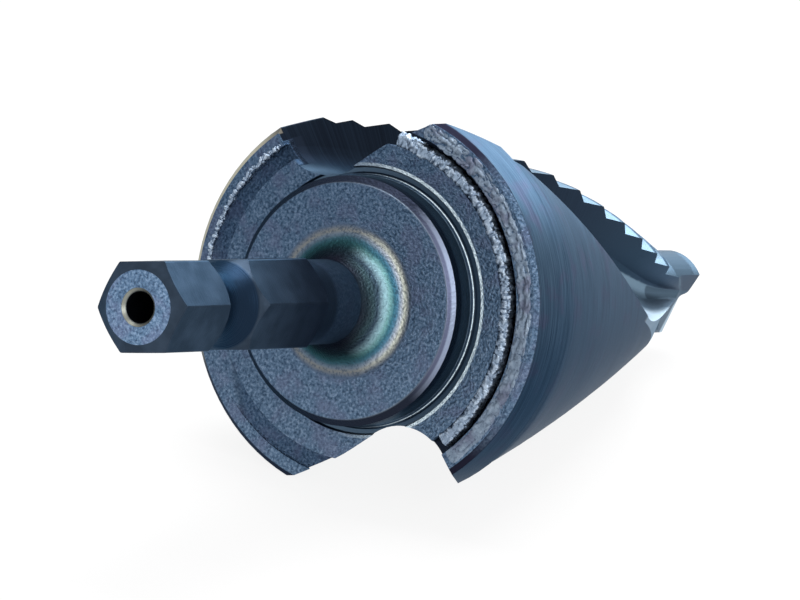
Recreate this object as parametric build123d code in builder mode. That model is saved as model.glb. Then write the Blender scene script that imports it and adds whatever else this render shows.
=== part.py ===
"""Step drill on a hex quick-change shank, two spiral flutes, ground from one bar of tool steel.

The drill is built upright on Z: the shank is below Z = 0, the back face of the largest step lies
at Z = 0 and the point is at the top.  At the end it is laid down on the rim of that step and on
its nose, as it comes to rest on a table.  Millimetres and degrees.
"""

import os
from math import atan2, cos, degrees, exp, radians, sin, sqrt, tan

from build123d import *

os.makedirs("parts", exist_ok=True)

# Steps: tooth corners from the rim to the pilot, on a slightly bulging cone
largest_diameter = 28.8
pilot_diameter = 6.3
step_total = 15
cone_bulge = 0.24
first_step_length = 3.96
second_step_length = 2.18
step_pitch = 2.855
riser_length = 0.84
rim_chamfer = 0.42
pilot_length = 5.5
point_angle = 87.0

# Flutes: right-handed, with a radial rake wall, a round root and a nearly flat floor
flute_total = 2
lead_rate = 1.835  # turn per millimetre at the back
lead_gain = 0.011  # growth of that rate along the drill
flute_width = 67.5
flute_width_at_back = 57.0
flute_widening_length = 6.0
root_radius_share = 0.7  # of the flute's depth
root_radius_share_at_tip = 0.3
root_deepening = 0.5  # of the radius, reached at the tip
root_deepening_power = 3
heel_drop_share = 0.06  # of the radius
heel_start_share = 0.62  # of the floor's width
heel_crown_share = 1.0  # of the radius
flute_sections = 15

# Split point: a gash along each lip, which also cuts back the heel of the other land
gash_angle = 93.0
gash_from_centre = 0.2
gash_root_depth = 1.35
gash_lean = 31.5
gash_opening = 137.0
gash_root_radius = 0.7

# Shank
hex_across_flats = 6.35
hex_edge_radius = 0.2
hex_runout_length = 0.6
shank_length = 31.25
shank_end_diameter = 5.24
end_chamfer_length = 0.6
detent_from_end = 9.15
detent_floor_diameter = 4.8
detent_arc_radius = 3.6
centre_hole_diameter = 2.25
centre_hole_depth = 4.0
centre_hole_mouth = 0.25
centre_drill_angle = 118.0
neck_diameter = 6.1
neck_length = 7.8
neck_fillet_radius = 2.55

# Hub, and the groove turned into the back face at its foot
hub_diameter = 18.1
hub_length = 2.87
hub_chamfer = 0.5
groove_outer_diameter = 19.5
groove_depth = 0.25
groove_floor_width = 0.3
groove_flank_width = 0.13

# Trench turned near the rim, deeper at one side than at the other
trench_inner_diameter = 23.2
trench_width = 1.3
trench_depth = 1.4
trench_tilt = 3.3
trench_offset = 0.3
trench_deep_side = 110.0

clearance = 1.0  # how far the cutting bodies stand past the metal
round_share = 0.5523  # handle length that makes a curve with two end handles a quarter circle
foot_reach = 4.0  # edges this near to the table can be what the drill rests on

rim_radius = largest_diameter / 2
pilot_radius = pilot_diameter / 2
hub_radius = hub_diameter / 2
neck_radius = neck_diameter / 2
hex_corner_radius = hex_across_flats / 2 / cos(radians(30))
cone_start = first_step_length + second_step_length
hex_end = -hub_length - neck_length


def cone_radius(share):
    """Radius of the tooth corners, by the share of the steps passed on the way to the pilot."""
    return rim_radius - (rim_radius - pilot_radius) * share * (1 - cone_bulge * (1 - share))


def peak(tooth):
    """Radius and height of the corner at the front end of a tooth, counted from 1 at the rim."""
    height = first_step_length if tooth == 1 else cone_start + step_pitch * (tooth - 2)
    return cone_radius((tooth - 1) / (step_total - 1)), height


def valley(tooth):
    """Radius and height of the inner corner below the riser of a tooth."""
    return cone_radius(tooth / (step_total - 1)), peak(tooth)[1] + riser_length


pilot_end = valley(step_total - 1)[1] + pilot_length
tip_height = pilot_end + pilot_radius / tan(radians(point_angle / 2))


def envelope_radius(height):
    """Radius that the tooth corners touch at a height."""
    share = ((height - cone_start) / step_pitch + 1) / (step_total - 1)
    return cone_radius(min(1, max(0, share)))


def edge_angle(height):
    """Turn of the cutting edge about the axis: it turns faster as the drill narrows."""
    return lead_rate * height + lead_gain * height**2


def heel_angle(height):
    """Turn from the cutting edge to the heel across the flute: the flute opens soon after the back."""
    return flute_width - (flute_width - flute_width_at_back) * exp(-height / flute_widening_length)


def around(radius, height, angle):
    """Point at a radius, a height and an angle in degrees about the axis."""
    return Vector(radius * cos(radians(angle)), radius * sin(radians(angle)), height)


def flute_section(height):
    """Outline of a flute at a height: rake wall, round root, floor with a rounded heel."""
    radius = envelope_radius(height)
    heel_out, heel_side = radius * cos(radians(heel_angle(height))), radius * sin(radians(heel_angle(height)))
    floor = heel_out + radius * heel_drop_share
    root = floor - radius * root_deepening * (height / tip_height) ** root_deepening_power
    crown_out, crown_side = root + heel_start_share * (floor - root), heel_start_share * heel_side
    reach = radius + clearance
    root_share = root_radius_share + (root_radius_share_at_tip - root_radius_share) * height / tip_height
    outer_heel = (
        heel_out + (heel_out - crown_out) * clearance / (heel_side - crown_side),
        heel_side + clearance,
    )
    across = Plane(origin=(0, 0, height), x_dir=around(1, 0, edge_angle(height)), z_dir=(0, 0, 1))
    with BuildSketch(across) as section:
        with BuildLine():
            FilletPolyline(
                (reach, 0),
                (root, 0),
                (crown_out, crown_side),
                outer_heel,
                radius=(root_share * (radius - floor), heel_crown_share * radius),
            )
            Polyline(outer_heel, (reach, heel_side + clearance), (reach, 0))
        make_face()
    return section.sketch


def notch_cuts():
    """The notches between the teeth, each as its profile and the angle it is ground at."""
    cuts = []
    for flute in range(flute_total):
        for tooth in range(2, step_total - 1):
            top, bottom, after = peak(tooth), valley(tooth), peak(tooth + 1)
            middle = (bottom[1] + after[1]) / 2
            angle = edge_angle(middle) + 360 / flute_total * flute
            cuts.append((top, bottom, after, angle))
    return cuts


# One flute, as the metal that the wheel takes away
with BuildPart() as flute_cutter:
    for index in range(flute_sections):
        add(flute_section(-clearance + (tip_height + 2 * clearance) * index / (flute_sections - 1)))
    loft()

# One gash: a wide vee with a round root, which runs down and outwards along the lip
with BuildPart() as gash_cutter:
    along = around(sin(radians(gash_lean)), -cos(radians(gash_lean)), gash_angle)
    above = around(cos(radians(gash_lean)), sin(radians(gash_lean)), gash_angle)
    ahead = around(1, 0, gash_angle + 90)
    root = Vector(0, 0, tip_height - gash_root_depth) + ahead * gash_from_centre + along * tip_height
    far = pilot_diameter + clearance
    with BuildSketch(Plane(origin=root, x_dir=above, z_dir=-along)):
        with BuildLine():
            FilletPolyline(
                (far, 0),
                (0, 0),
                (far * cos(radians(gash_opening)), far * sin(radians(gash_opening))),
                radius=gash_root_radius,
            )
            Polyline(
                (far * cos(radians(gash_opening)), far * sin(radians(gash_opening))),
                (far, far * sin(radians(gash_opening))),
                (far, 0),
            )
        make_face()
    extrude(amount=2 * tip_height)

# Hex shank: flats, with the corners turned off at both ends and a rounded groove for the chuck's ball
with BuildPart() as hex_shank:
    with BuildSketch(Plane.XY.offset(-shank_length)):
        RegularPolygon(radius=hex_corner_radius, side_count=6)
    extrude(amount=shank_length + hex_end)
    fillet(hex_shank.edges().filter_by(Axis.Z), radius=hex_edge_radius)
    with BuildSketch(Plane.XZ):
        with BuildLine():
            Polyline(
                (0, hex_end),
                (0, -shank_length),
                (shank_end_diameter / 2, -shank_length),
                (hex_corner_radius, -shank_length + end_chamfer_length),
                (hex_corner_radius, hex_end - hex_runout_length),
                (neck_radius, hex_end),
                close=True,
            )
        make_face()
    revolve(axis=Axis.Z, mode=Mode.INTERSECT)
    detent_height = detent_from_end - shank_length
    detent_depth = hex_corner_radius - detent_floor_diameter / 2
    detent_half = sqrt(detent_depth * (2 * detent_arc_radius - detent_depth))
    with BuildSketch(Plane.XZ):
        with BuildLine():
            Bezier(
                (hex_corner_radius, detent_height - detent_half),
                (detent_floor_diameter - hex_corner_radius, detent_height),  # the curve goes halfway to it
                (hex_corner_radius, detent_height + detent_half),
            )
            Line((hex_corner_radius, detent_height + detent_half), (hex_corner_radius, detent_height - detent_half))
        make_face()
    revolve(axis=Axis.Z, mode=Mode.SUBTRACT)

with BuildPart() as step_drill:
    # Neck, flare, hub, groove, rim, the cone through the tooth corners, and the pilot with its point
    with BuildSketch(Plane.XZ):
        with BuildLine():
            Polyline(
                (0, tip_height),
                (0, hex_end),
                (neck_radius, hex_end),
                (neck_radius, -hub_length - neck_fillet_radius),
            )
            Bezier(
                (neck_radius, -hub_length - neck_fillet_radius),
                (neck_radius, -hub_length - neck_fillet_radius * (1 - round_share)),
                (neck_radius + neck_fillet_radius * (1 - round_share), -hub_length),
                (neck_radius + neck_fillet_radius, -hub_length),
            )
            Polyline(
                (neck_radius + neck_fillet_radius, -hub_length),
                (hub_radius - hub_chamfer, -hub_length),
                (hub_radius, -hub_length + hub_chamfer),
                (hub_radius, -groove_depth),
                (groove_outer_diameter / 2 - groove_flank_width - groove_floor_width, groove_depth),
                (groove_outer_diameter / 2 - groove_flank_width, groove_depth),
                (groove_outer_diameter / 2, 0),
                (rim_radius - rim_chamfer, 0),
                (rim_radius, rim_chamfer),
                peak(1),
                valley(1),
                *[peak(tooth) for tooth in range(2, step_total)],
                valley(step_total - 1),
                (pilot_radius, pilot_end),
                (0, tip_height),
            )
        make_face()
    revolve(axis=Axis.Z)
    add(hex_shank.part)

    # Notches between the teeth, ground straight across, so they run out behind the edge
    for top, bottom, after, angle in notch_cuts():
        outward = around(1, 0, angle)
        behind = outward.cross(Vector(0, 0, 1))
        with BuildSketch(Plane(origin=-behind * clearance, x_dir=outward, z_dir=behind)):
            with BuildLine():
                Polyline(
                    top,
                    bottom,
                    after,
                    (top[0] + clearance, after[1]),
                    (top[0] + clearance, top[1]),
                    close=True,
                )
            make_face()
        extrude(amount=sqrt(top[0] ** 2 - bottom[0] ** 2) + 2 * clearance, mode=Mode.SUBTRACT)

    # Trench, turned with the drill slightly askew and off centre
    mean_radius = trench_inner_diameter / 2 + trench_width / 2
    mean_depth = trench_depth - mean_radius * sin(radians(trench_tilt))
    deep_side = around(cos(radians(trench_tilt)), sin(radians(trench_tilt)), trench_deep_side)
    backward = around(1, 0, trench_deep_side + 90).cross(deep_side)
    trench_centre = around(-trench_offset, mean_depth, trench_deep_side)
    with BuildSketch(Plane(origin=trench_centre, x_dir=deep_side, z_dir=backward)):
        Circle(trench_inner_diameter / 2 + trench_width)
        Circle(trench_inner_diameter / 2, mode=Mode.SUBTRACT)
    extrude(amount=trench_depth + clearance, mode=Mode.SUBTRACT)

    # Flutes and the gashes at the point
    for flute in range(flute_total):
        add(flute_cutter.part, rotation=(0, 0, 360 / flute_total * flute), mode=Mode.SUBTRACT)
        add(gash_cutter.part, rotation=(0, 0, 360 / flute_total * flute), mode=Mode.SUBTRACT)

    # Centre hole in the end of the shank
    with BuildSketch(Plane.XZ):
        with BuildLine():
            Polyline(
                (0, -shank_length),
                (centre_hole_diameter / 2 + centre_hole_mouth, -shank_length),
                (centre_hole_diameter / 2, -shank_length + centre_hole_mouth),
                (centre_hole_diameter / 2, -shank_length + centre_hole_depth),
                (
                    0,
                    -shank_length
                    + centre_hole_depth
                    + centre_hole_diameter / 2 / tan(radians(centre_drill_angle / 2)),
                ),
                close=True,
            )
        make_face()
    revolve(axis=Axis.Z, mode=Mode.SUBTRACT)

# At rest: the drill rolls over a flute and drops its nose until its centre of mass is lowest
centre = step_drill.part.center(CenterOf.MASS)
spots = [edge @ share - centre for edge in step_drill.part.edges() for share in (0, 0.25, 0.5, 0.75, 1)]


def downward(roll, dip):
    """Direction from the centre of mass to the table, for a roll about the axis and a dip of the nose."""
    return around(cos(radians(dip)), sin(radians(dip)), roll)


def table_distance(points, roll, dip):
    """Distance from the centre of mass to a table that the points touch."""
    down = downward(roll, dip)
    return max(point.dot(down) for point in points)


roll = 180 + heel_angle(first_step_length)
dip = degrees(atan2(rim_radius - pilot_radius, pilot_end))
touching = [
    spot for spot in spots if spot.dot(downward(roll, dip)) > table_distance(spots, roll, dip) - foot_reach
]
lowest = table_distance(touching, roll, dip)
stride = 8.0
while stride > 0.01:
    tries = [(roll + stride * cos(radians(way)), dip + stride * sin(radians(way))) for way in range(0, 360, 10)]
    distances = [table_distance(touching, *pair) for pair in tries]
    if min(distances) < lowest:
        lowest = min(distances)
        roll, dip = tries[distances.index(lowest)]
    else:
        stride *= 0.6

table = Plane(origin=(0, 0, 0), x_dir=(0, 0, 1), z_dir=-downward(roll, dip))
lying = table.to_local_coords(step_drill.part)
box = lying.bounding_box()
step_drill.part = lying.moved(Location((-box.center().X, -box.center().Y, -box.min.Z)))

step_drill.part.label = "step_drill"
export_step(step_drill.part, "parts/step_drill.step")
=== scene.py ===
import math

import bpy
import numpy as np
from mathutils import Matrix, Vector


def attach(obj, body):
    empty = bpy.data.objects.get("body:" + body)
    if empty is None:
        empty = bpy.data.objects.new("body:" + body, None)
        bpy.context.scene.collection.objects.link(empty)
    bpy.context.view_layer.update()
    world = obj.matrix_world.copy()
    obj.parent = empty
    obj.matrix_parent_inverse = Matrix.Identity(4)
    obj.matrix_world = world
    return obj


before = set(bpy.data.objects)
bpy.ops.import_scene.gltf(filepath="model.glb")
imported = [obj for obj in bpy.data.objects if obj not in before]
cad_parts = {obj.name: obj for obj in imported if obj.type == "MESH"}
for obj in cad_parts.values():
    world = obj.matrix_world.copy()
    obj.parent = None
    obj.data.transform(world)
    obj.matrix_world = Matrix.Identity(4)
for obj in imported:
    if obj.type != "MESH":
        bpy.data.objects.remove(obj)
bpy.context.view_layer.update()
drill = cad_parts["step_drill"]
print("frame loaded")

# How the drill lies on the table: degrees of the point below level, degrees of the side that is down
# (counted from the cutting edge at the back face), and the centre of the back face in metres
lie = {
    "dip": 11.29642,
    "roll": 227.63,
    "backFace": (-0.0089659, 0.0, 0.0139934),
}

dip, roll = math.radians(lie["dip"]), math.radians(lie["roll"])
downOwn = Vector((math.cos(dip) * math.cos(roll), math.cos(dip) * math.sin(roll), math.sin(dip)))
levelWay = (Vector((0, 0, 1)) - downOwn * downOwn.z).normalized()
ownToTable = Matrix((levelWay, levelWay.cross(downOwn), -downOwn))
edgeWay, sideWay, axisWay = (ownToTable @ Vector(way) for way in ((1, 0, 0), (0, 1, 0), (0, 0, 1)))
mm = 0.001

# The same for all steel: a tinted metal whose reflection stays blue at a glancing angle
sheen = {"Metallic": 0.9, "Specular IOR Level": 0.25, "Specular Tint": (0.44, 0.52, 0.62, 1)}


class Wire:
    # One socket of a node tree, with arithmetic that adds Math nodes.

    def __init__(self, finish, socket):
        self.finish, self.socket = finish, socket

    def calculate(self, operation, *values):
        return self.finish.node("ShaderNodeMath", {"operation": operation}, values)

    def __add__(self, other): return self.calculate("ADD", self, other)
    def __radd__(self, other): return self.calculate("ADD", other, self)
    def __sub__(self, other): return self.calculate("SUBTRACT", self, other)
    def __rsub__(self, other): return self.calculate("SUBTRACT", other, self)
    def __mul__(self, other): return self.calculate("MULTIPLY", self, other)
    def __rmul__(self, other): return self.calculate("MULTIPLY", other, self)
    def __truediv__(self, other): return self.calculate("DIVIDE", self, other)
    def __rtruediv__(self, other): return self.calculate("DIVIDE", other, self)
    def __pow__(self, other): return self.calculate("POWER", self, other)
    def __abs__(self): return self.calculate("ABSOLUTE", self)

    def sign(self):
        return self.calculate("SIGN", self)

    def orMore(self, other):
        # The larger of the two.
        return self.calculate("MAXIMUM", self, other)

    def rise(self, start, end):
        # Smooth 0 to 1 as the value goes from start to end; falls where end is below start.
        low, high = (0.0, 1.0) if start < end else (1.0, 0.0)
        return self.finish.node("ShaderNodeMapRange", {"interpolation_type": "SMOOTHSTEP"}, {
            "Value": self, "From Min": min(start, end), "From Max": max(start, end),
            "To Min": low, "To Max": high})

    def band(self, start, end, soft):
        # 1 between start and end, with a rise and a fall that are soft to both sides of them.
        return self.rise(start - soft, start + soft) * self.rise(end + soft, end - soft)

    def within(self, limits):
        # Three limits are a band, two are a rise or a fall.
        return self.band(*limits) if len(limits) == 3 else self.rise(*limits)


class Finish:
    # The node tree of a material or a world: node() adds any node from its type, settings and sockets.

    def __init__(self, owner):
        self.owner = owner
        owner.use_nodes = True
        self.tree = owner.node_tree
        self.tree.nodes.clear()

    def node(self, kind, settings=None, sockets=(), output=0):
        made = self.tree.nodes.new(kind)
        for key, value in (settings or {}).items():
            setattr(made, key, value)
        for key, value in (sockets.items() if isinstance(sockets, dict) else enumerate(sockets)):
            if isinstance(value, Wire):
                self.tree.links.new(value.socket, made.inputs[key])
            else:
                made.inputs[key].default_value = value
        return Wire(self, made.outputs[output]) if made.outputs else None

    def mix(self, share, first, second, blend="MIX"):
        # Colour mix; plain tuples are colours.
        first, second = ((*c, 1) if isinstance(c, tuple) else c for c in (first, second))
        return self.node("ShaderNodeMix", {"data_type": "RGBA", "blend_type": blend},
                         {0: share, 6: first, 7: second}, output=2)

    def times(self, colour, factors):
        return self.mix(1.0, colour, factors, "MULTIPLY")

    def ramp(self, stops, value):
        # Colours at places along a value, given in the value's own unit.
        low, high = stops[0][0], stops[-1][0]
        made = self.node("ShaderNodeValToRGB", {}, {"Fac": (value - low) / (high - low)})
        elements = made.socket.node.color_ramp.elements
        while len(elements) < len(stops):
            elements.new(0.5)
        for element, (place, colour) in zip(elements, stops):
            element.position, element.color = (place - low) / (high - low), (*colour, 1)
        return made

    def vector(self, operation, *values, output=0):
        return self.node("ShaderNodeVectorMath", {"operation": operation}, values, output=output)

    def scaled(self, way, size):
        return self.node("ShaderNodeVectorMath", {"operation": "SCALE"}, {0: tuple(way), "Scale": size})

    def dot(self, first, way):
        return self.vector("DOT_PRODUCT", first, tuple(way), output=1)

    def noise(self, place, scale, detail=2.0, roughness=0.5):
        return self.node("ShaderNodeTexNoise", {}, {
            "Vector": place, "Scale": scale, "Detail": detail, "Roughness": roughness})

    def combine(self, x, y, z):
        return self.node("ShaderNodeCombineXYZ", {}, (x, y, z))

    def metal(self, colour, roughness, normal):
        shader = self.node("ShaderNodeBsdfPrincipled", {}, {
            "Base Color": colour, "Roughness": roughness, "Normal": normal, **sheen})
        self.node("ShaderNodeOutputMaterial", {}, {"Surface": shader})
        return self.owner


class OwnPlace:
    # The drill's own measures in a material: along, radius and the two ways across in mm, and how
    # far the normal points along the axis, out from it and round it. Tilt and slant are the first and
    # the last of these without their sign.

    def __init__(self, finish):
        self.object = finish.node("ShaderNodeTexCoord", {}, (), output=3)
        self.normal = finish.node("ShaderNodeTexCoord", {}, (), output=1)
        offset = finish.vector("SUBTRACT", self.object, tuple(lie["backFace"]))
        self.along = finish.dot(offset, axisWay / mm)
        self.edge = finish.dot(offset, edgeWay / mm)
        self.side = finish.dot(offset, sideWay / mm)
        self.radius = (self.edge * self.edge + self.side * self.side) ** 0.5
        self.edgeShare = self.edge / (self.radius + 0.001)
        self.sideShare = self.side / (self.radius + 0.001)
        self.normalAlong = finish.dot(self.normal, axisWay)
        self.normalOut = (finish.dot(self.normal, edgeWay) * self.edgeShare
                          + finish.dot(self.normal, sideWay) * self.sideShare)
        self.normalAround = (finish.dot(self.normal, sideWay) * self.edgeShare
                             - finish.dot(self.normal, edgeWay) * self.sideShare)
        self.tilt, self.slant = abs(self.normalAlong), abs(self.normalAround)

    def towards(self, degrees):
        # Cosine of the angle, seen along the axis, between this place and the named side.
        angle = math.radians(degrees)
        return self.edgeShare * math.cos(angle) + self.sideShare * math.sin(angle)

    def region(self, limits):
        # Product of the bands that a feature keeps to, each on one of the measures above.
        shares = [getattr(self, measure).within(ends) for measure, ends in limits.items()]
        product = shares[0]
        for share in shares[1:]:
            product = product * share
        return product


# Where each finish lies, on the drill's own measures in mm and shares of the normal. Two limits are a
# rise or a fall, three are a band's start, end and softness
regions = {
    "ahead": {"along": (0.02, 0.07)},
    "shank": {"along": (-8.6, -9.2)},
    "endFace": {"along": (-31.0, -31.15), "normalAlong": (-0.9, -0.97)},
    "hole": {"along": (-27.0, -27.2), "radius": (1.16, 1.1)},
    "holeMouth": {"along": (-30.95, -31.1), "radius": (1.12, 1.36, 0.03)},
    "detent": {"along": (-24.15, -20.05, 0.1)},
    "detentBottom": {"radius": (3.17, 3.14)},
    "detentWall": {"tilt": (0.05, 0.15)},
    "neck": {"along": (-10.4, -5.3, 0.4)},
    "flare": {"along": (-5.6, -2.6, 0.05), "radius": (5.75, 5.55)},
    "hubEdge": {"along": (-2.7, -2.85), "radius": (8.50, 8.60, 0.04)},
    "hubChamfer": {"along": (-2.86, -2.37, 0.02), "radius": (8.5, 9.1, 0.03)},
    "hubSide": {"along": (-2.86, 0.02, 0.02), "radius": (8.5, 9.15, 0.05)},
    "hubFoot": {"along": (-0.05, 0.26, 0.02), "radius": (9.0, 9.2, 0.03)},
    "groove": {"along": (-0.24, 0.24, 0.02), "radius": (9.04, 9.78, 0.02)},
    "facingBack": {"normalAlong": (-0.97, -0.995)},
    "grooveLip": {"along": (-0.08, 0.22, 0.02), "radius": (9.62, 9.96, 0.04)},
    "shallowTrench": {"along": (0.05, 0.9, 0.03), "radius": (11.1, 13.3, 0.05)},
    "deepTrench": {"along": (0.5, 1.7, 0.15), "radius": (11.1, 13.4, 0.05)},
    "rim": {"along": (0.03, 0.40, 0.02), "radius": (13.9, 13.97)},
    "cone": {"along": (0.36, 0.44), "slant": (0.22, 0.12), "normalOut": (0.5, 0.7)},
    "fluted": {"along": (0.02, 0.1), "radius": (14.39, 14.3)},
    "offRake": {"normalAround": (0.93, 0.75)},
    "heelSide": {"along": (23.5, 30.0), "normalAround": (0.25, -0.15)},
    "notched": {"along": (5.6, 6.4)},
    "notchLand": {"normalOut": (0.35, 0.55)},
    "notchRiser": {"normalAlong": (0.5, 0.7)},
    "pilot": {"along": (40.9, 41.3), "normalOut": (0.4, 0.6), "normalAlong": (0.95, 0.8)},
    "point": {"along": (45.6, 46.2)},
    "pointEnd": {"along": (46.6, 46.2)},
    "pointLands": {"along": (45.6, 46.2), "normalAlong": (0.3, 0.5)},
    "turned": {"along": (-11.2, -10.8), "slant": (0.14, 0.08)},
}

# The curve through the tooth corners, in mm: a drop from the rim to the pilot, a little bulged
corners = {"rimRadius": 14.4, "drop": 11.25, "second": 6.14, "pitch": 2.855, "steps": 14, "bulge": 0.24}

# Steel of the drill: blue oxide, sand-blasted at the back, ground along the cone and in the flutes
steel = {
    "ground": (0.034, 0.058, 0.096),
    "groundPurple": (0.046, 0.048, 0.090),
    "grindDark": (0.56, 0.58, 0.62),  # factors in and between the grinding lines
    "grindPale": (1.62, 1.58, 1.50),
    "upperSideLight": (1.65, 1.58, 1.45),  # factors of painted light on the cone's upper side and of painted shade on its lower side
    "undersideShade": (0.50, 0.56, 0.62),
    "blasted": (0.074, 0.124, 0.196),
    "blastedPurple": (0.105, 0.118, 0.195),
    "blastedPale": (0.150, 0.215, 0.310),
    "blastedDark": (0.034, 0.060, 0.104),
    "blastedShaded": (0.86, 0.90, 0.94),  # factors of painted shade and painted light across the back face
    "blastedLit": (1.36, 1.34, 1.32),
    "endFace": (1.6, 1.6, 1.6),  # factors on the blasted colour
    "shallowTrench": (0.55, 0.60, 0.66),
    "shankDark": (0.0248, 0.0376, 0.0576),
    "shankPale": (0.03875, 0.05875, 0.09),
    "shankHubShade": (0.008, 0.010, 0.018),
    "detent": (0.010, 0.022, 0.044),
    "neck": (0.020, 0.031, 0.048),
    "flareSpeck": (0.045, 0.06, 0.09),
    "shadeSpeck": (0.045, 0.07, 0.11),
    "hubEdge": (0.26, 0.33, 0.42),
    "chamferShade": (0.016, 0.020, 0.034),
    "chamferLit": (0.11, 0.125, 0.20),
    "chamferEdgeHighlight": (0.27, 0.32, 0.44),
    "groove": (0.03, 0.05, 0.08),
    "edgeHighlight": (0.78, 0.92, 1.0),
    "trench": (0.010, 0.015, 0.026),
    "rimShade": (0.013, 0.013, 0.026),
    "rimWarmGlint": (0.50, 0.47, 0.36),
    "notchHighlight": (0.20, 0.29, 0.37),
    "point": (0.085, 0.125, 0.165),
    "hole": (0.004, 0.005, 0.008),
    "holeMouth": (0.26, 0.27, 0.24),
    "grainScale": 5000.0,  # noise scales per metre
    "coarseScale": 520.0,
    "cloudScale": 110.0,
    "grindLines": 9.0,  # per mm along the axis, also in the detent
    "grindWaves": 2.6,  # round the axis, on a circle of radius 1
    "wander": 0.35,  # mm that the temper rings stray
    "hubWander": 0.1,
    "paintedLightSide": 122.0,  # degrees of the side where painted light makes the temper colours and turned edges brightest
    "warmGlintSide": -38.0,
    "paintedLightBackSide": 190.0,  # degrees of the side where painted light makes the blasted face palest
    "heatPaintedLight": (  # radius in mm across the flare, and the temper colour there; the pale teal band from 3.75 to 4.15 mm is partly a painted highlight
        (3.0, (0.030, 0.036, 0.052)), (3.3, (0.050, 0.090, 0.105)), (3.55, (0.045, 0.075, 0.11)),
        (3.75, (0.20, 0.32, 0.38)), (3.95, (0.30, 0.50, 0.56)), (4.15, (0.18, 0.38, 0.39)),
        (4.42, (0.045, 0.16, 0.22)), (4.65, (0.10, 0.24, 0.36)), (4.9, (0.48, 0.54, 0.64)),
        (5.15, (0.70, 0.73, 0.64)), (5.35, (0.28, 0.30, 0.29)), (5.55, (0.08, 0.11, 0.16))),
    "heatShade": (  # the same, painted in shade, where the colours are duller
        (3.0, (0.010, 0.009, 0.016)), (3.8, (0.008, 0.018, 0.024)), (4.3, (0.016, 0.055, 0.065)),
        (4.6, (0.035, 0.090, 0.120)), (4.9, (0.12, 0.165, 0.22)), (5.15, (0.19, 0.20, 0.20)),
        (5.55, (0.08, 0.12, 0.19))),
    "hubSide": (  # mm along the hub's side, and its colour there: painted shade up the side and a painted highlight at its foot
        (-2.9, (0.012, 0.016, 0.026)), (-1.65, (0.010, 0.014, 0.023)), (-1.5, (0.030, 0.050, 0.072)),
        (-0.40, (0.040, 0.068, 0.098)), (-0.25, (0.22, 0.31, 0.40)), (-0.10, (0.66, 0.82, 0.94)),
        (0.0, (0.78, 0.92, 1.0))),
    "flute": (  # mm along the flute's rake wall, and its colour there: painted shade, darkest at the back face and lighter towards the point
        (0.0, (0.0045, 0.007, 0.013)), (14.0, (0.007, 0.011, 0.019)), (27.0, (0.021, 0.034, 0.056)),
        (36.0, (0.032, 0.054, 0.084)), (42.0, (0.060, 0.095, 0.145)), (47.0, (0.080, 0.098, 0.130))),
    # the flute's floor along the axis: painted shade in the flute, darkest a little ahead of the back face
    # and lighter towards the point
    "fluteFloor": (
        (0.0, (0.075, 0.120, 0.175)), (4.5, (0.008, 0.013, 0.022)), (24.0, (0.022, 0.036, 0.055)),
        (33.0, (0.055, 0.086, 0.125)), (42.0, (0.13, 0.18, 0.23)), (50.0, (0.13, 0.17, 0.22))),
    "heelHighlight": (  # the flute beside its back edge, with a painted highlight that grows bright towards the point
        (23.0, (0.030, 0.048, 0.072)), (29.0, (0.24, 0.34, 0.42)), (36.0, (0.52, 0.64, 0.74)),
        (46.0, (0.62, 0.76, 0.84))),
}

blue = Finish(bpy.data.materials.new("blueSteel"))
own = OwnPlace(blue)
zones = {name: own.region(limits) for name, limits in regions.items()}
grain = blue.noise(own.object, steel["grainScale"], 2.0, 0.55)
coarse = blue.noise(own.object, steel["coarseScale"], 3.0)
cloud = blue.noise(own.object, steel["cloudScale"])
streakPlace = blue.combine(own.along * steel["grindLines"], own.edgeShare * steel["grindWaves"],
                           own.sideShare * steel["grindWaves"])
streak = blue.noise(streakPlace, 1.0, 3.0, 0.6)
turning = blue.noise(blue.combine(own.along * steel["grindLines"], 0.0, 0.0), 1.0)
# How far each place lies towards the side that gets painted light; the side away from it gets painted shade
towardsPaintedLight = own.towards(steel["paintedLightSide"])

# regions that follow a slanting or a curved surface
cornerShare = ((own.along - corners["second"]) / corners["pitch"] + 1.0) / corners["steps"]
envelope = corners["rimRadius"] - corners["drop"] * cornerShare * (
    1.0 - corners["bulge"] + corners["bulge"] * cornerShare)
isDetent = zones["detent"] * zones["detentBottom"].orMore(zones["detentWall"])
isGrooveShade = zones["groove"] * (1.0 - zones["facingBack"])
belowCorners = (envelope - own.radius).rise(0.06, 0.16)
isNotch = zones["notched"] * zones["pointEnd"] * belowCorners * zones["notchLand"].orMore(zones["notchRiser"])
isFlute = zones["fluted"] * (1.0 - zones["cone"])
isFloor = isFlute * zones["offRake"]
isHeelHighlight = isFlute * zones["heelSide"] * (own.radius / envelope).rise(0.60, 0.76)
isShankSide = zones["shank"] * (1.0 - zones["endFace"])

# the two main colours: ground steel ahead of the back face, blasted steel behind it
ground = blue.mix(coarse.rise(0.50, 0.68) * 0.6, steel["ground"], steel["groundPurple"])
ground = blue.mix(streak.rise(0.25, 0.75), blue.times(ground, steel["grindDark"]),
                  blue.times(ground, steel["grindPale"]))
# painted light and shade: the ground steel lighter where it faces up and darker where it faces down
facingDown = blue.dot(own.normal, (0.0, 0.0, -1.0))
ground = blue.times(ground, blue.mix(facingDown.rise(-0.75, 0.25), steel["upperSideLight"], steel["undersideShade"]))
speck = blue.mix(grain.rise(0.48, 0.70), steel["blasted"], steel["blastedPale"])
speck = blue.mix(grain.rise(0.50, 0.30), speck, steel["blastedDark"])
speck = blue.mix(coarse.rise(0.46, 0.66) * 0.42, speck, steel["blastedPurple"])
# painted light and shade: the blasted face lighter towards one side and darker towards the other
backFaceLightShare = (own.radius * own.towards(steel["paintedLightBackSide"])).rise(-11.0, 12.0)
speck = blue.times(speck, blue.mix(backFaceLightShare, steel["blastedShaded"], steel["blastedLit"]))

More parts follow.
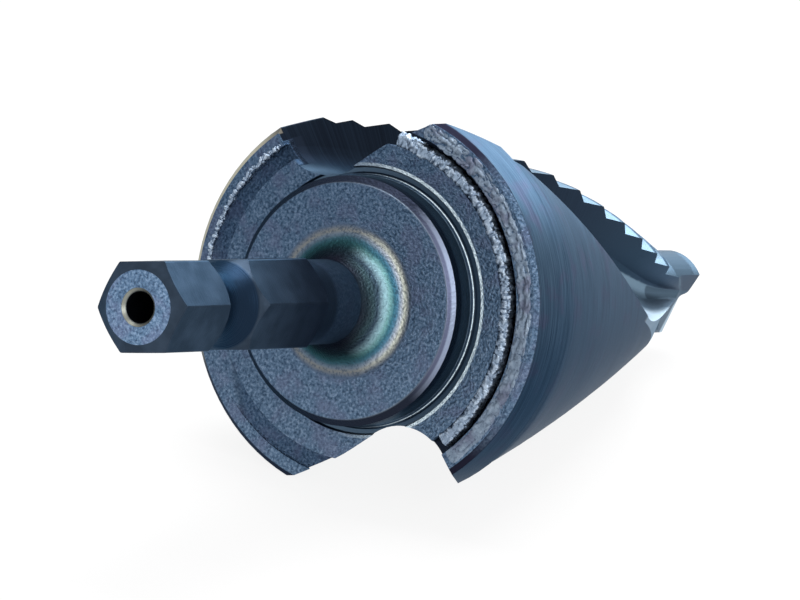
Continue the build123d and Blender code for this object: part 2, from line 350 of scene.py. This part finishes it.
# the colours of single features
shankTone = blue.mix(coarse.rise(0.35, 0.7), steel["shankDark"], steel["shankPale"])
# painted shade: the shank darker towards the neck and the hub
shankTone = blue.mix(own.along.rise(-21.0, -10.0) * 0.62, shankTone, steel["shankHubShade"])
ringPlace = own.radius + (coarse - 0.5) * steel["wander"]
darkGrain = grain.rise(0.5, 0.36)
heatPaintedLight = blue.mix(darkGrain * own.radius.rise(4.0, 4.6) * 0.35,
                blue.ramp(steel["heatPaintedLight"], ringPlace), steel["flareSpeck"])
shade = blue.mix(darkGrain * own.radius.rise(4.4, 4.8) * 0.6,
                 blue.ramp(steel["heatShade"], ringPlace), steel["shadeSpeck"])
# painted light: the temper colours shown lit towards one side, and as their painted-shade copy elsewhere
heatPaintedLight = blue.mix(towardsPaintedLight.rise(0.15, 0.98), shade, heatPaintedLight)
# painted shade on the hub's side and a painted highlight at its foot
hubSide = blue.ramp(steel["hubSide"], own.along + (coarse - 0.5) * steel["hubWander"])
# painted light on the hub's chamfer: lit, with a painted highlight along its outer edge, towards one side,
# and painted shade elsewhere
chamferTone = blue.mix(own.radius.rise(8.74, 8.86), steel["chamferLit"], steel["chamferEdgeHighlight"])
chamferTone = blue.mix(towardsPaintedLight.rise(0.60, 0.95), steel["chamferShade"], chamferTone)
# painted light on the rim: painted shade except towards the lit side, where the blasted colour shows, and a
# warm painted glint towards another side
rimTone = blue.mix(towardsPaintedLight.rise(0.62, 0.90), steel["rimShade"], speck)
rimTone = blue.mix(own.towards(steel["warmGlintSide"]).rise(0.72, 0.9), rimTone, steel["rimWarmGlint"])
fluteTone = blue.mix(isFloor, blue.ramp(steel["flute"], own.along), blue.ramp(steel["fluteFloor"], own.along))
fluteTone = blue.mix(streak.rise(0.35, 0.7) * 0.14, fluteTone, steel["ground"])
fluteTone = blue.mix(isHeelHighlight, fluteTone, blue.ramp(steel["heelHighlight"], own.along))

# laid over each other in this order, each with its share
layers = (
    (zones["ahead"], ground),
    (isShankSide, shankTone),
    (zones["endFace"], blue.times(speck, steel["endFace"])),
    (isDetent, steel["detent"]),
    (zones["neck"] * 0.75, steel["neck"]),
    (zones["flare"], heatPaintedLight),
    (zones["hubSide"], hubSide),
    (zones["hubChamfer"] * towardsPaintedLight.rise(-0.6, -0.1), chamferTone),
    (isFlute, fluteTone),
    (zones["rim"], rimTone),
    # painted shade: the groove between the hub and the disc darker
    (isGrooveShade, steel["groove"]),
    # painted highlights: bright lines at the hub's foot and on the groove's lip, towards the lit side
    (zones["hubFoot"] * towardsPaintedLight.rise(-0.1, 0.7), steel["edgeHighlight"]),
    (zones["grooveLip"] * towardsPaintedLight.rise(-0.3, 0.6), steel["edgeHighlight"]),
    # painted highlights: the steps' lands and risers, the pilot and the point's lands paler than the ground
    # steel
    (isNotch, steel["notchHighlight"]),
    (zones["pilot"], steel["point"]),
    (zones["pointLands"], steel["point"]),
    # painted shade: the blasted colour darkened in the shallow trench, and near black in the deep trench
    (zones["shallowTrench"], blue.times(speck, steel["shallowTrench"])),
    (zones["deepTrench"], steel["trench"]),
    (zones["holeMouth"], steel["holeMouth"]),
    # painted shade: the centre hole near black
    (zones["hole"], steel["hole"]),
    # a painted highlight on the edge of the hub's face, towards the lit side
    (zones["hubEdge"] * towardsPaintedLight.rise(-0.5, 0.6) * 0.4, steel["hubEdge"]),
)
colour = speck
for share, tone in layers:
    colour = blue.mix(share, colour, tone)

# Turned surfaces get their true round normal, worked out about the axis. The share of it that points
# along the axis is the surface's own, but on the cone it starts at zero, where the rim's chamfer
# ends, and grows to the cone's slope
coneNormal = {"slope": 0.205, "growth": 0.003, "blend": (0.4, 9.0)}
lean = blue.node("ShaderNodeMix", {"data_type": "FLOAT"}, {
    0: zones["cone"] * (1.0 - isNotch) * (1.0 - zones["point"]), 2: own.normalAlong,
    3: (coneNormal["slope"] + own.along * coneNormal["growth"]) * own.along.rise(*coneNormal["blend"])})
leanOut = (1.0 - lean * lean).orMore(0.0) ** 0.5 * own.normalOut.sign()
across = blue.vector("ADD", blue.scaled(edgeWay, own.edgeShare * leanOut),
                     blue.scaled(sideWay, own.sideShare * leanOut))
roundNormal = blue.vector("ADD", across, blue.scaled(axisWay, lean))
baseNormal = blue.vector("NORMALIZE", blue.node("ShaderNodeMix", {"data_type": "VECTOR"}, {
    0: zones["turned"], 4: own.normal, 5: roundNormal}, output=1))

# Relief: the height in mm of each pattern where it is full
relief = {"grain": 0.150, "coarse": 0.020, "grinding": 0.009, "turning": 0.04}
isBehind = 1.0 - zones["ahead"] * (1.0 - zones["shallowTrench"])
isBlasted = isBehind * (1.0 - isShankSide) * (1.0 - zones["neck"]) * (1.0 - zones["hubSide"] * 0.7)
isBlasted = isBlasted + zones["rim"] * towardsPaintedLight.rise(0.62, 0.90)
height = (grain * isBlasted * relief["grain"] + coarse * isBlasted * relief["coarse"]
          + streak * (1.0 - isBlasted) * relief["grinding"] + turning * isDetent * relief["turning"])
bumped = blue.node("ShaderNodeBump", {}, {
    "Strength": 1.0, "Distance": mm, "Height": height, "Normal": baseNormal})

# Roughness of plain steel, and what each region adds to it
rough = {"plain": 0.32, "blasted": 0.14, "cloud": 0.10, "flute": 0.06, "flare": -0.10}
roughness = (rough["plain"] + isBlasted * rough["blasted"] + cloud * rough["cloud"]
             + isFlute * rough["flute"] + zones["flare"] * rough["flare"])
drill.data.materials.clear()
drill.data.materials.append(blue.metal(colour, roughness, bumped))
print("steel done")


def latticeNoise(a, b, seed):
    # Smooth noise from 0 to 1 on two coordinates: random lattice values, blended by smoothstep.
    size = 128
    table = np.random.default_rng(seed).random((size, size))
    i, j = np.floor(a).astype(int), np.floor(b).astype(int)
    u, v = a - i, b - j
    u, v = u * u * (3 - 2 * u), v * v * (3 - 2 * v)
    i, j, nextI, nextJ = i % size, j % size, (i + 1) % size, (j + 1) % size
    low = table[i, j] * (1 - u) + table[nextI, j] * u
    high = table[i, nextJ] * (1 - u) + table[nextI, nextJ] * u
    return low * (1 - v) + high * v


def lumps(a, b, seed):
    # Rounded lumps with sharp creases between them: one minus the square of a ridge, where a ridge is
    # one minus the distance of noise from its middle; two sizes are added.
    broad = 1 - np.abs(2 * latticeNoise(a, b, seed) - 1)
    fine = 1 - np.abs(2 * latticeNoise(2.1 * a + 7, 2.1 * b + 3, seed + 1) - 1)
    return 1 - (0.65 * broad ** 2 + 0.35 * fine ** 2)


# What all torn bands have in common
bandForm = {
    "boxPower": 0.7,  # below 1, so that a section is nearer to a box than to an ellipse
    "endLength": 0.07,  # share of a band over which its wider ends fade
    "endShift": 0.35,  # mm outwards for an end twice as wide
    "offsetSide": 110.0,  # degrees of the side where the trench comes nearest to the axis
    "restLump": 0.35,  # the lump height that leaves the section as it is
}


def squared(wave, half):
    # A sine or cosine pushed towards a box: its size to a power below one, times the half width.
    return np.sign(wave) * np.abs(wave) ** bandForm["boxPower"] * half


def bandSurface(band):
    # Points of a lumpy band round the back of the drill, and how high each lump stands. At each angle
    # the section is a closed flattened ring, its half width times the cosine across and its half height
    # times the sine along the axis, pushed out along its own normal by the lumps. The ring's middle
    # strays with noise, grows wider at the ends where asked, and shrinks to a point at both ends.
    rows, ring = band["grid"]
    share = np.linspace(0, 1, rows)[:, None]
    turn = np.linspace(-np.pi, np.pi, ring, endpoint=False)[None, :] + band["seam"]
    angle = np.radians(band["start"] + (band["end"] - band["start"]) * share)
    arc = band["radius"] * np.abs(angle)
    drift = (latticeNoise(arc / band["wanderLength"], 0 * arc, band["seed"]) - 0.5) * band["wander"]
    ends = np.exp(-share / bandForm["endLength"]) + np.exp((share - 1) / bandForm["endLength"])
    growth = band["endGrowth"] * ends
    eccentric = band["offset"] * np.cos(angle - np.radians(bandForm["offsetSide"]))
    middle = band["radius"] - eccentric + drift + bandForm["endShift"] * growth
    taper = np.clip(np.minimum(share, 1 - share) * rows / band["taperRows"], 0, 1) ** 0.5
    fade = band["fade"][0] + (band["fade"][1] - band["fade"][0]) * share
    cosine, sine = np.cos(turn), np.sin(turn)
    across = squared(cosine, band["halfWidth"]) * (1 + growth)
    upward = squared(sine, band["halfHeight"])
    lumpAcross = (across - upward) / band["lump"] * band["lumpAcross"] + 40
    size = lumps((arc + 0 * turn) / band["lump"], lumpAcross, band["seed"] + 5)
    push = band["depth"] * (size - bandForm["restLump"]) * fade
    out = middle + (across + push * cosine) * taper
    along = band["level"] - (upward + push * sine) * taper
    place = (np.array(lie["backFace"])
             + mm * along[..., None] * np.array(axisWay)
             + mm * (out * np.cos(angle))[..., None] * np.array(edgeWay)
             + mm * (out * np.sin(angle))[..., None] * np.array(sideWay))
    return place, size


def tubeFaces(rows, ring):
    # Quads between neighbouring rings and a fan of triangles at each end, whose middle points are the
    # last two points.
    i, j = np.meshgrid(np.arange(rows - 1), np.arange(ring), indexing="ij")
    k = (j + 1) % ring
    quads = np.stack([i * ring + j, i * ring + k, (i + 1) * ring + k, (i + 1) * ring + j], -1)
    j = np.arange(ring)
    k = (j + 1) % ring
    last = (rows - 1) * ring
    firstCap = np.stack([np.full(ring, rows * ring), k, j], -1)
    lastCap = np.stack([np.full(ring, rows * ring + 1), last + j, last + k], -1)
    return [quads.reshape(-1, 4), firstCap, lastCap]


def tornBand(name, band, metal):
    # The band as a closed mesh that rides on the drill, with the lumps' height for its finish.
    place, size = bandSurface(band)
    points = np.concatenate([place.reshape(-1, 3), place[0].mean(0)[None], place[-1].mean(0)[None]])
    outward = -1 if band["end"] > band["start"] else 1
    faces = [face for part in tubeFaces(*band["grid"]) for face in part[:, ::outward].tolist()]
    mesh = bpy.data.meshes.new(name)
    mesh.from_pydata(points.tolist(), [], faces)
    mesh.polygons.foreach_set("use_smooth", np.ones(len(mesh.polygons), bool))
    crest = np.append(size.ravel(), [0.0, 0.0]).astype(np.float32)
    mesh.attributes.new("crest", "FLOAT", "POINT").data.foreach_set("value", crest)
    mesh.materials.append(metal)
    mesh.update()
    piece = bpy.data.objects.new(name, mesh)
    bpy.context.collection.objects.link(piece)
    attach(piece, "root")


# Metal that was torn when the trench was turned, with painted light: a painted highlight on the crests and
# painted shade in the creases
torn = {
    # painted shade in the creases, also used for the fine dark specks
    "creaseShadeAndSpeck": (0.060, 0.084, 0.125),
    # painted highlight on the crests
    "crest": (0.50, 0.60, 0.72),
    "fineScale": 5200.0,  # noise scales per metre
    "broadScale": 700.0,
    "fineRelief": 0.025,  # mm
    "broadRelief": 0.03,
    "rough": 0.34,
    "fineRough": 0.15,
}
beads = {
    "body": (0.26, 0.34, 0.45),
    "purple": (0.150, 0.150, 0.240),
    "crestHighlightShare": 0.85,
    "purpleShare": 0.1,
}
cracks = {
    "body": (0.195, 0.255, 0.3375),
    "purple": (0.1125, 0.1125, 0.18),
    "crestHighlightShare": 0.25,
    "purpleShare": 0.60,
}


def tornFinish(name, tones):
    # Painted shade in the creases, the body colour and a painted highlight on the crests, by the lumps'
    # height, with purple patches and fine dark specks.
    metal = Finish(bpy.data.materials.new(name))
    place = metal.node("ShaderNodeTexCoord", {}, (), output=3)
    crest = metal.node("ShaderNodeAttribute", {"attribute_name": "crest"}, (), output=2)
    fine = metal.noise(place, torn["fineScale"], 3.0, 0.6)
    broad = metal.noise(place, torn["broadScale"])
    tone = metal.mix(crest.rise(0.05, 0.30), torn["creaseShadeAndSpeck"], tones["body"])
    tone = metal.mix(crest.rise(0.45, 0.9) * tones["crestHighlightShare"], tone, torn["crest"])
    tone = metal.mix(broad.rise(0.45, 0.65) * tones["purpleShare"], tone, tones["purple"])
    tone = metal.mix(fine.rise(0.5, 0.36) * 0.4, tone, torn["creaseShadeAndSpeck"])
    height = fine * torn["fineRelief"] + broad * torn["broadRelief"]
    bump = metal.node("ShaderNodeBump", {}, {"Strength": 1.0, "Distance": mm, "Height": height})
    return metal.metal(tone, torn["rough"] + fine * torn["fineRough"], bump)


# Torn bands: start and end in degrees round the drill, measures in mm, and the grid's rows and ring
innerWall = {  # the trench's inner wall, dragged out over the slit
    "start": 43.5, "end": 178.5, "radius": 11.95, "offset": 0.3, "level": 0.50,
    "halfWidth": 0.40, "halfHeight": 0.54, "depth": 0.20, "endGrowth": 0.45, "seam": 0.0,
    "lump": 0.34, "lumpAcross": 0.8, "wander": 0.16, "wanderLength": 1.1,
    "taperRows": 10, "fade": (1.5, 0.8), "seed": 3, "grid": (1100, 40),
}
outerRing = {  # the cracked skin between the trench and the rim
    "start": 53.0, "end": 179.0, "radius": 13.40, "offset": 0.15, "level": 0.04,
    "halfWidth": 0.54, "halfHeight": 0.07, "depth": 0.20, "endGrowth": 0.0, "seam": -1.5708,
    "lump": 0.62, "lumpAcross": 2.0, "wander": 0.10, "wanderLength": 1.6,
    "taperRows": 10, "fade": (1.6, 0.25), "seed": 11, "grid": (1100, 56),
}
leftBeads = {  # a burr along the outer lip of the other land
    "start": 359.0, "end": 292.0, "radius": 13.0, "offset": 0.3, "level": 0.06,
    "halfWidth": 0.13, "halfHeight": 0.16, "depth": 0.22, "endGrowth": 0.0, "seam": -1.5708,
    "lump": 0.28, "lumpAcross": 0.8, "wander": 0.16, "wanderLength": 0.7,
    "taperRows": 12, "fade": (1.3, 0.8), "seed": 23, "grid": (700, 28),
}
beadSteel = tornFinish("tornBeadSteel", beads)
crackSteel = tornFinish("crackedRingSteel", cracks)
tornBand("inner_wall_tear", innerWall, beadSteel)
tornBand("outer_ring_tear", outerRing, crackSteel)
tornBand("left_lip_burr", leftBeads, beadSteel)
print("torn bands done")

# Floor: matt, and near white to the camera and in reflections
floorSet = {"half": 3.0, "tone": (0.9, 0.9, 0.9, 1), "light": (1, 1, 1, 1), "shown": 0.88}
half = floorSet["half"]
floorMesh = bpy.data.meshes.new("floor")
floorMesh.from_pydata([(-half, -half, 0), (half, -half, 0), (half, half, 0), (-half, half, 0)], [],
                      [(0, 1, 2, 3)])
floor = bpy.data.objects.new("floor", floorMesh)
bpy.context.collection.objects.link(floor)


def seenDirectly(finish):
    # 1 for rays from the camera, in a reflection or through glass, else 0.
    camera, glossy, through = (finish.node("ShaderNodeLightPath", {}, (), output=k) for k in (0, 3, 6))
    return camera.orMore(glossy).orMore(through)


white = Finish(bpy.data.materials.new("floorWhite"))
matt = white.node("ShaderNodeBsdfDiffuse", {}, {"Color": floorSet["tone"]})
lit = white.node("ShaderNodeEmission", {}, {"Color": floorSet["light"], "Strength": 1.0})
both = white.node("ShaderNodeMixShader", {}, {0: seenDirectly(white) * floorSet["shown"], 1: matt, 2: lit})
white.node("ShaderNodeOutputMaterial", {}, {"Surface": both})
floorMesh.materials.append(white.owner)

# Camera: its direction from the aim in degrees, and lengths in metres; the lens and sensor in mm
view = {
    "lens": 405.0,
    "sensor": 36.0,
    "azimuth": -150.325,
    "elevation": 19.242,
    "roll": 9.398,
    "distance": 0.65009,
    "aim": (-0.0075311, -0.0022088, 0.0144321),
    "clipStart": 0.01,
}
camData = bpy.data.cameras.new("camera")
camData.lens = view["lens"]
camData.sensor_width = view["sensor"]
camData.clip_start = view["clipStart"]
cam = bpy.data.objects.new("camera", camData)
bpy.context.collection.objects.link(cam)
azimuth, elevation, tilt = (math.radians(view[key]) for key in ("azimuth", "elevation", "roll"))
back = Vector((math.cos(azimuth) * math.cos(elevation), math.sin(azimuth) * math.cos(elevation),
               math.sin(elevation)))
cam.location = Vector(view["aim"]) + back * view["distance"]
cam.rotation_mode = "QUATERNION"
turned = Matrix.Rotation(tilt, 3, back) @ back.to_track_quat("Z", "Y").to_matrix()
cam.rotation_quaternion = turned.to_quaternion()
bpy.context.scene.camera = cam

# Lamps: each is a soft box with its place, size in metres and power in watts
lamps = {
    "keyTop": {"place": (0.35, 0.15, 0.95), "size": (0.7, 0.7), "power": 12},
    "backTop": {"place": (0.88, 0.12, 0.36), "size": (0.6, 0.5), "power": 4},
    "fillLeft": {"place": (-0.55, -0.75, 0.55), "size": (0.5, 0.5), "power": 2.5},
}
for name, lamp in lamps.items():
    data = bpy.data.lights.new(name, "AREA")
    data.shape = "RECTANGLE"
    data.size, data.size_y = lamp["size"]
    data.energy = lamp["power"]
    box = bpy.data.objects.new(name, data)
    bpy.context.collection.objects.link(box)
    box.location = lamp["place"]
    box.rotation_mode = "QUATERNION"
    box.rotation_quaternion = Vector(lamp["place"]).to_track_quat("Z", "Y")

# World: white where it is seen directly, dimmer as a light on matt surfaces
worldSet = {"tone": (1, 1, 1, 1), "shown": 1.0, "diffuse": 0.55}
world = bpy.data.worlds.new("studio")
bpy.context.scene.world = world
sky = Finish(world)
dim = sky.node("ShaderNodeBackground", {}, (worldSet["tone"], worldSet["diffuse"]))
full = sky.node("ShaderNodeBackground", {}, (worldSet["tone"], worldSet["shown"]))
mixed = sky.node("ShaderNodeMixShader", {}, (seenDirectly(sky), dim, full))
sky.node("ShaderNodeOutputWorld", {}, {"Surface": mixed})

bpy.context.scene.view_settings.view_transform = "Standard"
print("studio done")
